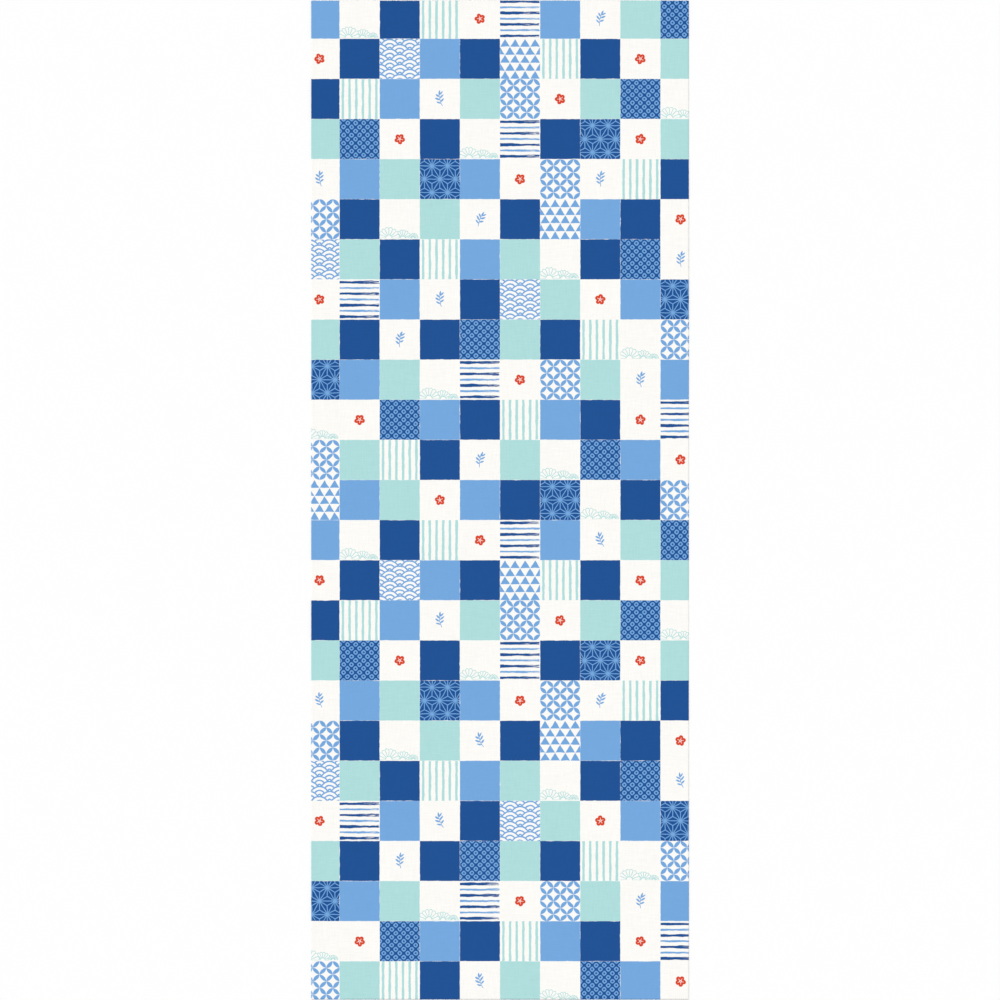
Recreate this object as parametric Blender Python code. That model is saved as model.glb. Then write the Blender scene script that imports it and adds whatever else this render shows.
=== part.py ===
"""Tenugui towel: one length of narrow plain-weave cotton, laid flat with its dyed face up.

Metres, +Z up. The origin lies on the surface that the towel rests on, under the middle of the
cloth. The warp, and with it the length, runs along Y. The two selvedges lie at -X and +X, and the
two ends, cut and left unhemmed, lie at -Y and +Y.
"""

from math import cos, pi, sin

import bmesh
import bpy

# Driving dimensions
CLOTH_LENGTH = 0.900
CLOTH_WIDTH = 0.340
WEB_THICKNESS = 0.0010

# The weft turns back at each selvedge, which makes a band a little thicker than the web
SELVEDGE_WIDTH = 0.0030
SELVEDGE_RISE = 0.00012
SELVEDGE_SLOPE = 0.0012
RIM_STEPS = 6

COTTON_COLOUR = (0.43, 0.58, 0.72, 1.0)
COTTON_ROUGHNESS = 0.88


def clear_scene() -> None:
    """Remove every object that the file starts with."""
    for thing in list(bpy.data.objects):
        bpy.data.objects.remove(thing, do_unlink=True)


def cotton() -> bpy.types.Material:
    """Return the matt finish of the dyed cotton, in the mean colour of its print."""
    material = bpy.data.materials.new("dyed_cotton")
    material.use_nodes = True
    shader = material.node_tree.nodes["Principled BSDF"]
    shader.inputs["Base Color"].default_value = COTTON_COLOUR
    shader.inputs["Roughness"].default_value = COTTON_ROUGHNESS
    shader.inputs["Metallic"].default_value = 0.0
    return material


def selvedge_section() -> list[tuple[float, float]]:
    """Return the outline of the selvedge at +X, from the underside round its rim to the web's top.

    Returns:
        Points (x, z): half a circle for the turned weft, then the band and its slope to the web.
    """
    radius = (WEB_THICKNESS + SELVEDGE_RISE) / 2
    centre_x = CLOTH_WIDTH / 2 - radius
    outline = []
    for step in range(RIM_STEPS + 1):
        turn = -pi / 2 + pi * step / RIM_STEPS
        outline.append((centre_x + radius * cos(turn), radius + radius * sin(turn)))
    band_end = CLOTH_WIDTH / 2 - SELVEDGE_WIDTH
    outline.append((band_end, WEB_THICKNESS + SELVEDGE_RISE))
    outline.append((band_end - SELVEDGE_SLOPE, WEB_THICKNESS))
    return outline


def cloth_section() -> list[tuple[float, float]]:
    """Return the whole section across the width, from the underside at +X round to that at -X."""
    right = selvedge_section()
    left = [(-x, z) for x, z in reversed(right)]
    return right + left


def towel_cloth() -> bpy.types.Object:
    """Return the cloth, its section drawn along the warp from the near cut end to the far one."""
    model = bmesh.new()
    corners = [model.verts.new((x, -CLOTH_LENGTH / 2, z)) for x, z in cloth_section()]
    near_end = model.faces.new(corners)
    drawn = bmesh.ops.extrude_face_region(model, geom=[near_end])["geom"]
    far_corners = [item for item in drawn if isinstance(item, bmesh.types.BMVert)]
    bmesh.ops.translate(model, verts=far_corners, vec=(0.0, CLOTH_LENGTH, 0.0))
    bmesh.ops.recalc_face_normals(model, faces=model.faces)
    mesh = bpy.data.meshes.new("towel_cloth")
    model.to_mesh(mesh)
    model.free()
    mesh.materials.append(cotton())
    cloth = bpy.data.objects.new("towel_cloth", mesh)
    bpy.context.scene.collection.objects.link(cloth)
    return cloth


clear_scene()
towel_cloth()
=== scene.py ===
"""Looks of the tenugui towel: plain-weave cotton, dyed in a patchwork of squares and laid flat.

Metres, +Z up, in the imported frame. The warp runs along Y, the weft along X. The print is worked out
in millimetres from a chart of squares, and each kind of square is a finish of its own.
"""

import logging
from abc import ABC, abstractmethod
from collections.abc import Callable, Iterator
from dataclasses import dataclass, fields
from enum import Enum
from math import atan2, cos, floor, pi, radians, sin, sqrt, tau

import bmesh
import bpy
from bpy.types import ID, Material, Mesh, Node, NodeSocket, NodeTree, Object
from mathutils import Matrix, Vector, noise


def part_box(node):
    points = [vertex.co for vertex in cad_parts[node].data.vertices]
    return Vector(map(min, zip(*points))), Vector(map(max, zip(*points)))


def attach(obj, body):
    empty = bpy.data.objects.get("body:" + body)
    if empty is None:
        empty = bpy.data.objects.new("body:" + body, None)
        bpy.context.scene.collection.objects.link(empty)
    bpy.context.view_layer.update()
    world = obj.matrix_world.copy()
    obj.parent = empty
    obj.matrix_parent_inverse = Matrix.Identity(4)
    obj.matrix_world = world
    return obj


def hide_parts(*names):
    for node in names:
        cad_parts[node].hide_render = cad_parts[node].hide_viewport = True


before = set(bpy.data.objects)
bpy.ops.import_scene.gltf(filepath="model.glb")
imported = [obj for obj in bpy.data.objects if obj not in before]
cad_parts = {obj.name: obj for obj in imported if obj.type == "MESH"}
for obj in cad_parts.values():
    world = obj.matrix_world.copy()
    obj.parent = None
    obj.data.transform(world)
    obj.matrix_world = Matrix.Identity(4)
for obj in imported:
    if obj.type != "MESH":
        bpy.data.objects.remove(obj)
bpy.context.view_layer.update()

LOG = logging.getLogger("tenugui")

CLOTH_NODE = "towel_cloth"

MILLIMETRE = 0.001
PITCH = 36.1  # one square of the print, in millimetres
SELVEDGE = 2.8  # the band at each side where the warp is set closer, in millimetres
PRINT_MAP = "print_squares"
BAKE_MAP = "OFBake"

Point = tuple[float, float, float]

# Light that a white surface sends back under the studio's lamps, where 1 is white on the display
LIGHT_LEVEL = 1.06


def placed(name: str, data: ID) -> Object:
    """Set something new in the scene.

    Args:
        name: of the object.
        data: a mesh, lamp or lens.

    Returns:
        Its object.
    """
    thing = bpy.data.objects.new(name, data)
    bpy.context.scene.collection.objects.link(thing)
    return thing


def linear(channel: float) -> float:
    """Work out the light of a display value.

    Args:
        channel: display value from 0 to 255.

    Returns:
        Linear light from 0 to 1.
    """
    share = channel / 255
    if share <= 0.04045:
        return share / 12.92
    return ((share + 0.055) / 1.055) ** 2.4


@dataclass(frozen=True)
class Dye:
    """One dye on the cotton, or the bare cotton, by the colour that it shows in flat light.

    Attributes:
        red: display value from 0 to 255.
        green: display value from 0 to 255.
        blue: display value from 0 to 255.
    """

    red: float
    green: float
    blue: float

    def albedo(self) -> tuple[float, float, float, float]:
        """Return the surface colour that shows this dye under the studio's lamps."""
        red, green, blue = (linear(channel) / LIGHT_LEVEL for channel in (self.red, self.green, self.blue))
        return (red, green, blue, 1.0)


BARE_COTTON = Dye(255, 253.4, 249.2)
NAVY = Dye(29, 82, 149)
MID_BLUE = Dye(118, 170, 224)
MINT = Dye(177, 224, 223)
VERMILION = Dye(222, 70, 40)


def operation(kind: str) -> Callable[..., "Term"]:
    """Make a method of Term from one kind of Math node.

    Args:
        kind: the node's own name for what it does.

    Returns:
        The method, which takes the term and whatever other numbers the node needs.
    """

    def method(*values: "Value") -> "Term":
        """Return the node's result for the term and the numbers after it."""
        return values[0].graph.math(kind, *values)

    return method


@dataclass(frozen=True)
class Term:
    """One number inside a node tree. Arithmetic on it adds Math nodes.

    Attributes:
        graph: the tree that the number belongs to.
        socket: the output that carries it.
    """

    graph: "Graph"
    socket: NodeSocket

    __add__ = __radd__ = operation("ADD")
    __sub__ = operation("SUBTRACT")
    __mul__ = __rmul__ = operation("MULTIPLY")
    __truediv__ = operation("DIVIDE")
    __mod__ = operation("FLOORED_MODULO")
    __pow__ = operation("POWER")
    __abs__ = operation("ABSOLUTE")
    floor = operation("FLOOR")
    part = operation("FRACT")
    sine = operation("SINE")
    cosine = operation("COSINE")
    least = operation("MINIMUM")
    most = operation("MAXIMUM")
    over = operation("GREATER_THAN")
    under = operation("LESS_THAN")

    def __rsub__(self, other: "Value") -> "Term":
        """Return the difference from a plain number."""
        return self.graph.math("SUBTRACT", other, self)

    def __neg__(self) -> "Term":
        """Return the number with its sign turned."""
        return self * -1.0

    def from_middle(self, period: float) -> "Term":
        """Return how far the number lies from the middle of its stretch of this length, signed."""
        return ((self / period).part() - 0.5) * period

    def hypot(self, other: "Term") -> "Term":
        """Return the length of the vector with these two parts."""
        return self.graph.math("SQRT", self * self + other * other)


Value = Term | float


@dataclass(frozen=True)
class Graph:
    """A node tree that is filled from expressions.

    Attributes:
        tree: the tree of a material or of Geometry Nodes.
    """

    tree: NodeTree

    NOISE_ROUGHNESS = 0.55  # strength of each finer layer of noise against the one before

    def node(
        self,
        kind: str,
        settings: dict[str, object] | None = None,
        values: dict[str | int, object] | None = None,
    ) -> Node:
        """Add any node.

        Args:
            kind: the node's type name.
            settings: its own settings, set before its sockets.
            values: for each input, by name or place, a number, a vector, a Term or an output.

        Returns:
            The node.
        """
        made = self.tree.nodes.new(kind)
        for name, setting in (settings or {}).items():
            setattr(made, name, setting)
        self.feed(made, values or {})
        return made

    def feed(self, node: Node, values: dict[str | int, object]) -> None:
        """Set or link some of a node's inputs.

        Args:
            node: the node.
            values: for each input, by name or place, a number, a vector, a Term or an output.
        """
        for name, value in values.items():
            source = value.socket if isinstance(value, Term) else value
            if isinstance(source, NodeSocket):
                self.tree.links.new(source, node.inputs[name])
            else:
                node.inputs[name].default_value = source

    def together(self, *parts: NodeSocket) -> NodeSocket:
        """Join shapes in a tree of Geometry Nodes.

        Args:
            parts: outputs with a shape each.

        Returns:
            The output with all of them.
        """
        made = self.node("GeometryNodeJoinGeometry")
        for part in parts:
            self.tree.links.new(part, made.inputs[0])
        return made.outputs[0]

    def math(self, kind: str, *values: Value) -> Term:
        """Return the result of one Math node on these numbers."""
        made = self.node("ShaderNodeMath", {"operation": kind}, dict(enumerate(values)))
        return Term(self, made.outputs[0])

    def joined(self, x: Value, y: Value, z: Value = 0.0) -> NodeSocket:
        """Return the vector with these parts."""
        return self.node("ShaderNodeCombineXYZ", values={"X": x, "Y": y, "Z": z}).outputs[0]

    def parted(self, vector: NodeSocket) -> tuple[Term, Term, Term]:
        """Return the three parts of a vector."""
        outputs = self.node("ShaderNodeSeparateXYZ", values={0: vector}).outputs
        return Term(self, outputs[0]), Term(self, outputs[1]), Term(self, outputs[2])

    def noise(self, x: Value, y: Value, z: Value = 0.0, scale: float = 1.0, detail: float = 0.0) -> Node:
        """Read noise at a place.

        Args:
            x: first part of the place.
            y: second part of the place.
            z: third part, which picks a slice of the noise.
            scale: features for each unit.
            detail: how many finer layers are added.

        Returns:
            The Noise Texture node.
        """
        return self.node(
            "ShaderNodeTexNoise",
            {"noise_dimensions": "3D"},
            {
                "Vector": self.joined(x, y, z),
                "Scale": scale,
                "Detail": detail,
                "Roughness": self.NOISE_ROUGHNESS,
            },
        )

    def speckle(self, *place: Value, scale: float = 1.0, detail: float = 0.0) -> Term:
        """Return noise from 0 to 1 at this place."""
        return Term(self, self.noise(*place, scale=scale, detail=detail).outputs[0])

    def ramp(self, value: Term, low: Value, high: Value, start: float, end: float) -> Term:
        """Return a smooth step.

        Args:
            value: the number that the step follows.
            low: where the step starts.
            high: where it ends.
            start: its result at and below low.
            end: its result at and above high.

        Returns:
            The result of the step.
        """
        made = self.node(
            "ShaderNodeMapRange",
            {"interpolation_type": "SMOOTHSTEP"},
            {"Value": value, "From Min": low, "From Max": high, "To Min": start, "To Max": end},
        )
        return Term(self, made.outputs["Result"])

    def blend(self, share: Value, first: object, second: object, way: str = "MIX") -> NodeSocket:
        """Mix two colours.

        Args:
            share: how much of the second colour there is, from 0 to 1.
            first: a colour or an output.
            second: a colour or an output.
            way: the Mix node's blend type.

        Returns:
            The output with the mixed colour.
        """
        factor_place, first_place, second_place, result_place = 0, 6, 7, 2
        made = self.node(
            "ShaderNodeMix",
            {"data_type": "RGBA", "blend_type": way},
            {factor_place: share, first_place: first, second_place: second},
        )
        return made.outputs[result_place]


def bare_finish(name: str) -> tuple[Material, Graph, Node]:
    """Make a finish that is still to be filled.

    Args:
        name: of the material.

    Returns:
        The material, its tree, and the shader in it.
    """
    material = bpy.data.materials.new(name)
    material.use_nodes = True
    return material, Graph(material.node_tree), material.node_tree.nodes["Principled BSDF"]


@dataclass(frozen=True)
class PlainWeave:
    """The over and under of the cotton yarns, all in millimetres.

    Attributes:
        half_width: from the middle of the cloth to a selvedge's rim.
        warp_pitch: from one warp yarn to the next, across the cloth.
        weft_pitch: from one weft yarn to the next, along the cloth.
        relief: from the deepest point between the yarns to the highest on one.
        unevenness: share by which a spun yarn's height changes along it.
        streaks: share by which one yarn takes more dye than the next.
        wander: how far a yarn strays from its straight line.
        fibre: share of the height that the cotton's own fibres make up.
        tightening: share by which the warp is set closer in the selvedges.
    """

    half_width: float
    warp_pitch: float = 0.42
    weft_pitch: float = 0.47
    relief: float = 0.05
    unevenness: float = 0.5
    streaks: float = 0.07
    wander: float = 0.35
    fibre: float = 0.2
    tightening: float = 0.5

    WANDER_SCALE = 0.11  # strays in a millimetre
    SLUB_SCALE = 0.09  # thick places in a millimetre of yarn
    FIBRE_SCALE = 7.0  # fibres in a millimetre
    YARN_STEP = 3.7  # from one yarn's noise to the next
    CROWN = (0.62, 0.38)  # a yarn's height between its crossings, and how far it rises and falls there
    PAINTED_GAP_SHADE = (0.93, 0.1)  # painted shade: the colour's level in the gaps between yarns, and the painted light added on top of them by the weave's height

    def yarns(self, graph: Graph, x: Term, y: Term) -> tuple[Term, Term]:
        """Draw the yarns, each noise read on a slice of its own.

        Args:
            graph: the material's tree.
            x: place across the cloth, in millimetres.
            y: place along the cloth, in millimetres.

        Returns:
            The height from 0 to about 1, and a factor on the colour, about 1 on the whole: the yarns' uneven
            take of dye, times painted shade that darkens the gaps between yarns and lightens their tops.
        """
        strays = graph.noise(x, y, 21.0, scale=self.WANDER_SCALE, detail=2.0).outputs["Color"]
        warp_stray, weft_stray, _ = graph.parted(strays)
        band_start = self.half_width - SELVEDGE
        into_bands = (x - band_start).most(0.0) - (-x - band_start).most(0.0)
        set_x = x + into_bands * self.tightening
        warp = (set_x + (warp_stray - 0.5) * self.wander * 2) / self.warp_pitch
        weft = (y + (weft_stray - 0.5) * self.wander * 2) / self.weft_pitch
        warp_number = warp.floor()
        weft_number = weft.floor()
        warp_slub = graph.speckle(warp_number * self.YARN_STEP, y * self.SLUB_SCALE, 2.0)
        weft_slub = graph.speckle(x * self.SLUB_SCALE, weft_number * self.YARN_STEP, 8.0)
        rises = (
            ((weft + warp_number % 2) * pi).sine(),
            -((warp + weft_number % 2) * pi).sine(),
        )
        middle, swing = self.CROWN
        tops = [
            abs((yarn * pi).sine()) * (middle + swing * rise) * (1 + self.unevenness * (slub - 0.5))
            for yarn, rise, slub in zip((warp, weft), rises, (warp_slub, weft_slub))
        ]
        height = tops[0].most(tops[1])
        fibres = graph.speckle(x, y, 5.0, scale=self.FIBRE_SCALE, detail=2.0) - 0.5
        tone = 1 + self.streaks * (warp_slub + weft_slub - 1)
        # Painted shade: the colour is darker in the gaps between the yarns and lighter on their tops,
        # following the weave's height
        gap_shade_level, top_light_gain = self.PAINTED_GAP_SHADE
        return height + self.fibre * fibres, tone * (gap_shade_level + top_light_gain * height)


@dataclass(frozen=True)
class Spot:
    """A point of the print, in millimetres, drawn with an unsteady hand.

    Attributes:
        graph: the material's tree.
        x: from the left side of its square.
        y: from the lower side of its square.
        chance: a number from 0 to 1 that each square draws for itself.
        spread: how far the dye spreads here, as it follows the yarns.
    """

    graph: Graph
    x: Term
    y: Term
    chance: Term
    spread: Term

    SOFTNESS = 0.13  # how far the dye fades out on each side of an edge
    GAP = 0.06  # bare cotton on each side of a line between squares
    SLICES = 9.0  # how far apart the squares' slices of noise may lie

    @property
    def slice(self) -> Term:
        """Return the slice of noise that the square reads, its own by chance."""
        return self.chance * self.SLICES

    @property
    def across(self) -> Term:
        """Return x from the middle of the square."""
        return self.x - PITCH / 2

    @property
    def up(self) -> Term:
        """Return y from the middle of the square."""
        return self.y - PITCH / 2

    def dyed(self, distance: Term) -> Term:
        """Return how far the dye covers a point at this distance outside a shape's edge."""
        return self.graph.ramp(distance - self.spread, -self.SOFTNESS, self.SOFTNESS, 1.0, 0.0)

    def patch(self) -> Term:
        """Return the cover of the whole square, which leaves a hair of bare cotton around it."""
        reach = abs(self.across).most(abs(self.up))
        return self.dyed(reach - (PITCH / 2 - self.GAP))

    def turned(self, angle: Value) -> tuple[Term, Term]:
        """See the spot from the square's middle in axes turned by an angle.

        Args:
            angle: in radians.

        Returns:
            Its place along the two turned axes.
        """
        across, up = self.across, self.up
        if isinstance(angle, Term):
            side, rise = angle.cosine(), angle.sine()
        else:
            side, rise = cos(angle), sin(angle)
        return across * side + up * rise, up * side - across * rise


class Motif(ABC):
    """What one kind of square shows."""

    @abstractmethod
    def colour(self, spot: Spot) -> NodeSocket:
        """Return the output with the print's colour at the spot."""


@dataclass(frozen=True)
class PlainDye(Motif):
    """A square filled with one dye.

    Attributes:
        dye: the dye.
    """

    dye: Dye

    def colour(self, spot: Spot) -> NodeSocket:
        """Return the dye inside the square's uneven edge."""
        return spot.graph.blend(spot.patch(), BARE_COTTON.albedo(), self.dye.albedo())


@dataclass(frozen=True)
class LinesAndShapes(Motif):
    """Shapes in one dye on a ground of another, inside the square's uneven edge.

    Attributes:
        dye: the dye of the shapes.
        ground: the dye under them.
    """

    dye: Dye
    ground: Dye = BARE_COTTON

    @abstractmethod
    def distance(self, spot: Spot) -> Term:
        """Return how far the spot lies outside the nearest shape, in millimetres."""

    def colour(self, spot: Spot) -> NodeSocket:
        """Print the shapes on their ground.

        Args:
            spot: the point of the print.

        Returns:
            The output with the print's colour.
        """
        patch = spot.patch()
        ground = spot.graph.blend(patch, BARE_COTTON.albedo(), self.ground.albedo())
        return spot.graph.blend(spot.dyed(self.distance(spot)) * patch, ground, self.dye.albedo())


@dataclass(frozen=True)
class FreeFigure(Motif):
    """A figure in one dye on bare cotton, which the square's uneven edge doesn't cut.

    Attributes:
        dye: of the figure.
    """

    dye: Dye

    @abstractmethod
    def distance(self, spot: Spot) -> Term:
        """Return how far the spot lies outside the figure, in millimetres."""

    def colour(self, spot: Spot) -> NodeSocket:
        """Return the figure on bare cotton."""
        return spot.graph.blend(spot.dyed(self.distance(spot)), BARE_COTTON.albedo(), self.dye.albedo())


@dataclass(frozen=True)
class UprightStripes(LinesAndShapes):
    """Stripes up the square, each a little broader here and there.

    Attributes:
        count: stripes in a square.
        width: of a stripe.
        change: share by which its width changes.
    """

    count: int = 6
    width: float = 2.2
    change: float = 0.5

    STRIPE_STEP = 4.1  # from one stripe's noise to the next
    PRESS_SCALE = 0.11  # changes of width in a millimetre

    def distance(self, spot: Spot) -> Term:
        """Draw the stripes.

        Args:
            spot: the point of the print.

        Returns:
            How far it lies outside the nearest stripe, in millimetres.
        """
        period = PITCH / self.count
        number = (spot.x / period).floor()
        press = spot.graph.speckle(number * self.STRIPE_STEP, spot.y * self.PRESS_SCALE, spot.slice)
        half_width = (1 + self.change * (press - 0.5)) * (self.width / 2)
        return abs(spot.x.from_middle(period)) - half_width


@dataclass(frozen=True)
class BrushStripes(Motif):
    """Stripes drawn across the square with a brush that runs dry, in two dyes by turns.

    Attributes:
        broad: the dye of the broad stripes.
        fine: the dye of the fine stripes.
        count: stripes in a square.
        broad_width: of a broad stripe.
        fine_width: of a fine stripe.
        change: share by which a stripe's width changes as the brush is pressed.
        ragged: how much sooner one bristle leaves the cloth than another.
        bristles: bristle marks in a millimetre.
    """

    broad: Dye
    fine: Dye
    count: int = 7
    broad_width: float = 2.4
    fine_width: float = 1.7
    change: float = 0.9
    ragged: float = 5.0
    bristles: float = 2.2

    STRIPE_STEP = 2.3  # from one stripe's noise to the next
    PRESS_SCALE = 0.1  # changes of width in a millimetre
    MARK_SCALE = 0.14  # breaks of a bristle mark in a millimetre
    MARK_LEVEL = 0.35  # level of the marks at which a bristle leaves the cloth at the square's side
    DRY_FROM = 0.45  # share of the way across at which the brush starts to run dry
    DRY_SHARE = (0.52, 0.66)  # levels of the bristle marks between which the cotton shows

    def colour(self, spot: Spot) -> NodeSocket:
        """Draw the stripes on bare cotton.

        Args:
            spot: the point of the print.

        Returns:
            The output with the print's colour.
        """
        period = PITCH / self.count
        number = (spot.y / period).floor()
        is_fine = number % 2
        press = spot.graph.speckle(spot.x * self.PRESS_SCALE, number * self.STRIPE_STEP, spot.slice)
        width = self.broad_width - is_fine * (self.broad_width - self.fine_width)
        half_width = width * (1 + self.change * (press - 0.5)) / 2
        mark = spot.graph.speckle(
            spot.x * self.MARK_SCALE, spot.y * self.bristles, spot.slice, detail=1.0
        )
        dryness = spot.graph.ramp(spot.x, PITCH * self.DRY_FROM, PITCH, 0.0, 1.0)
        scratches = spot.graph.ramp(mark, *self.DRY_SHARE, 0.0, 1.0) * dryness
        cover = spot.dyed(abs(spot.y.from_middle(period)) - half_width)
        ends = spot.dyed(abs(spot.across) + (mark - self.MARK_LEVEL) * self.ragged * dryness - PITCH / 2)
        dye = spot.graph.blend(is_fine, self.broad.albedo(), self.fine.albedo())
        return spot.graph.blend(cover * ends * (1 - scratches), BARE_COTTON.albedo(), dye)


@dataclass(frozen=True)
class Waves(LinesAndShapes):
    """Seigaiha: rows of round scales, each row in front of the one above, drawn as nested arcs.

    Attributes:
        scales: scales across a square.
        line: width of an arc.
        space: from one arc to the next.
    """

    scales: int = 2
    line: float = 1.3
    space: float = 2.2

    def distance(self, spot: Spot) -> Term:
        """Draw the arcs of the scale in front.

        Args:
            spot: the point of the print.

        Returns:
            How far it lies outside the nearest arc, in millimetres.
        """
        period = PITCH / self.scales
        radius = period / 2
        step = radius / 2
        row = (spot.y / step).floor()

        def from_centre(scale_row: Term) -> Term:
            """Return the distance from the nearest centre in this row of scales."""
            shift = (scale_row % 2) * radius
            return (spot.x + shift).from_middle(period).hypot(spot.y - scale_row * step)

        front = from_centre(row - 1)
        behind = from_centre(row)
        hidden = front.over(radius)
        nearest = front + hidden * (behind - front)
        inside = radius - nearest + self.space / 2
        return abs(inside.from_middle(self.line + self.space)) - self.line / 2


@dataclass(frozen=True)
class HempLeaf(LinesAndShapes):
    """Asanoha: a lattice of triangles, each parted from its middle to its corners.

    Attributes:
        rows: rows of triangles up a square.
        line: width of a line.
    """

    rows: int = 3
    line: float = 0.8

    def distance(self, spot: Spot) -> Term:
        """Draw the sides and ribs of the lattice.

        Args:
            spot: the point of the print.

        Returns:
            How far it lies outside the nearest line, in millimetres.
        """
        height = PITCH / self.rows
        shares = []
        for turn in (pi / 2, pi / 2 + tau / 3, pi / 2 - tau / 3):
            shares.append(((spot.across * cos(turn) + spot.up * sin(turn)) / height).part())
        first, second, third = shares
        # The three parts add up to 1 in a triangle that points up, and to 2 in one that points down
        points_down = (first + second + third).over(1.5)
        first, second, third = (share + points_down * (1 - 2 * share) for share in shares)
        lowest = first.least(second).least(third)
        highest = first.most(second).most(third)
        side = lowest * height
        rib = (1 - highest - 2 * lowest) * (height / sqrt(3))
        return side.least(rib) - self.line / 2


@dataclass(frozen=True)
class TiedDots(LinesAndShapes):
    """Kanoko: slanting rows of tied dots, each a rounded square with its middle undyed.

    Attributes:
        count: dots across a square.
        size: half the width of a dot.
        hole: half the width of its middle.
        roundness: 2 for a round dot, and more for a squarer one.
    """

    count: int = 5
    size: float = 1.95
    hole: float = 0.8
    roundness: float = 3.0

    def distance(self, spot: Spot) -> Term:
        """Draw the slanting rows.

        Args:
            spot: the point of the print.

        Returns:
            How far it lies outside the nearest dot, in millimetres.
        """
        period = PITCH / self.count / sqrt(2)
        along, aside = spot.turned(pi / 4)
        along = abs(along.from_middle(period)) ** self.roundness
        aside = abs(aside.from_middle(period)) ** self.roundness
        reach = (along + aside) ** (1 / self.roundness)
        return (reach - self.size).most(self.hole - reach)


@dataclass(frozen=True)
class LinkedRings(LinesAndShapes):
    """Shippo: rings that overlap by quarters, shown as the petals where they meet.

    Attributes:
        count: rings across a square.
        slim: how much narrower a petal is drawn on each side.
    """

    count: int = 3
    slim: float = 0.08

    def distance(self, spot: Spot) -> Term:
        """Draw the petals, one across each cell, mirrored from cell to cell.

        Args:
            spot: the point of the print.

        Returns:
            How far it lies outside the nearest petal, in millimetres.
        """
        radius = PITCH / self.count / 2
        column = (spot.x / radius).floor()
        row = (spot.y / radius).floor()
        odd = (column + row) % 2
        right = (spot.x / radius).part()
        up = (spot.y / radius).part()
        right = right + odd * (1 - 2 * right)
        reach = right.hypot(up).most((1 - right).hypot(1 - up))
        return (reach - 1) * radius + self.slim


@dataclass(frozen=True)
class FishScales(LinesAndShapes):
    """Uroko: rows of triangles, each row set half a triangle aside from the next.

    Attributes:
        count: triangles across a square.
        rows: rows up a square.
        slim: how much smaller a triangle is drawn on each side.
    """

    count: int = 4
    rows: int = 5
    slim: float = 0.1

    def distance(self, spot: Spot) -> Term:
        """Draw the rows.

        Args:
            spot: the point of the print.

        Returns:
            How far it lies outside the nearest triangle, in millimetres.
        """
        width = PITCH / self.count
        height = PITCH / self.rows
        row = (spot.y / height).floor()
        up = (spot.y / height).part()
        aside = abs((spot.x + (row % 2) * (width / 2)).from_middle(width))
        slope = cos(atan2(width / 2, height))
        flank = (aside - (1 - up) * (width / 2)) * slope
        foot = -up * height
        return flank.most(foot) + self.slim


@dataclass(frozen=True)
class PlumBlossom(FreeFigure):
    """One small five-petalled blossom in the middle of a bare square.

    Attributes:
        petal_reach: from the blossom's middle to a petal's middle.
        petal_radius: of a petal.
        heart: radius of the pale middle.
        stamen: width of the pale line up each petal.
    """

    petal_reach: float = 2.85
    petal_radius: float = 2.0
    heart: float = 1.0
    stamen: float = 0.34

    PETALS = 5

    def distance(self, spot: Spot) -> Term:
        """Draw the blossom, turned by its square's own chance.

        Args:
            spot: the point of the print.

        Returns:
            How far it lies outside the blossom, in millimetres.
        """
        across, up = spot.turned(spot.chance * tau)
        sector = tau / self.PETALS
        angle = spot.graph.math("ARCTAN2", up, across).from_middle(sector)
        reach = across.hypot(up)
        along = reach * angle.cosine()
        aside = reach * angle.sine()
        petal = (along - self.petal_reach).hypot(aside) - self.petal_radius
        stamen = (abs(aside) - self.stamen / 2).most(reach - self.petal_reach)
        heart = (reach - self.heart).least(stamen)
        seed = reach - self.heart / 2
        return petal.most(-heart).least(seed)


@dataclass(frozen=True)
class LeafyTwig(FreeFigure):
    """A bowed twig with leaves by turns to its left and right, in the middle of a bare square.

    Attributes:
        lean: most that a twig leans to either side.
        stem_width: width of the stem.
        bow: how strongly the stem curves.
        stagger: how much higher the leaves on one side stand.
    """

    lean: float = radians(50)
    stem_width: float = 0.6
    bow: float = 0.02
    stagger: float = 1.4

    FOOT = -6.6
    TOP = 4.0
    LEAVES = (  # height on the stem, angle from the stem, length and half width
        (3.2, 0.0, 4.6, 0.8),
        (1.7, radians(46), 4.6, 0.75),
        (-1.2, radians(52), 5.2, 0.8),
        (-4.1, radians(58), 4.4, 0.75),
    )

    def leaf(self, along: Term, aside: Term, length: float, half_width: float) -> Term:
        """Return the distance from a pointed leaf that starts at the origin."""
        radius = (length**2 / 4 + half_width**2) / (2 * half_width)
        return (abs(aside) + (radius - half_width)).hypot(along - length / 2) - radius

    def distance(self, spot: Spot) -> Term:
        """Draw the twig, leaning by its square's own chance.

        Args:
            spot: the point of the print.

        Returns:
            How far it lies outside the twig, in millimetres.
        """
        across, up = spot.turned((spot.chance - 0.5) * self.lean)
        across = across - up * up * self.bow
        beside = abs(across)
        raised = across.over(0.0) * self.stagger
        middle, half_length = (self.TOP + self.FOOT) / 2, (self.TOP - self.FOOT) / 2
        shape = (beside - self.stem_width / 2).most(abs(up - middle) - half_length)
        for height, angle, length, half_width in self.LEAVES:
            above = up - height - (raised if angle else 0.0)
            along = beside * sin(angle) + above * cos(angle)
            aside = beside * cos(angle) - above * sin(angle)
            shape = shape.least(self.leaf(along, aside, length, half_width))
        return shape


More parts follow.
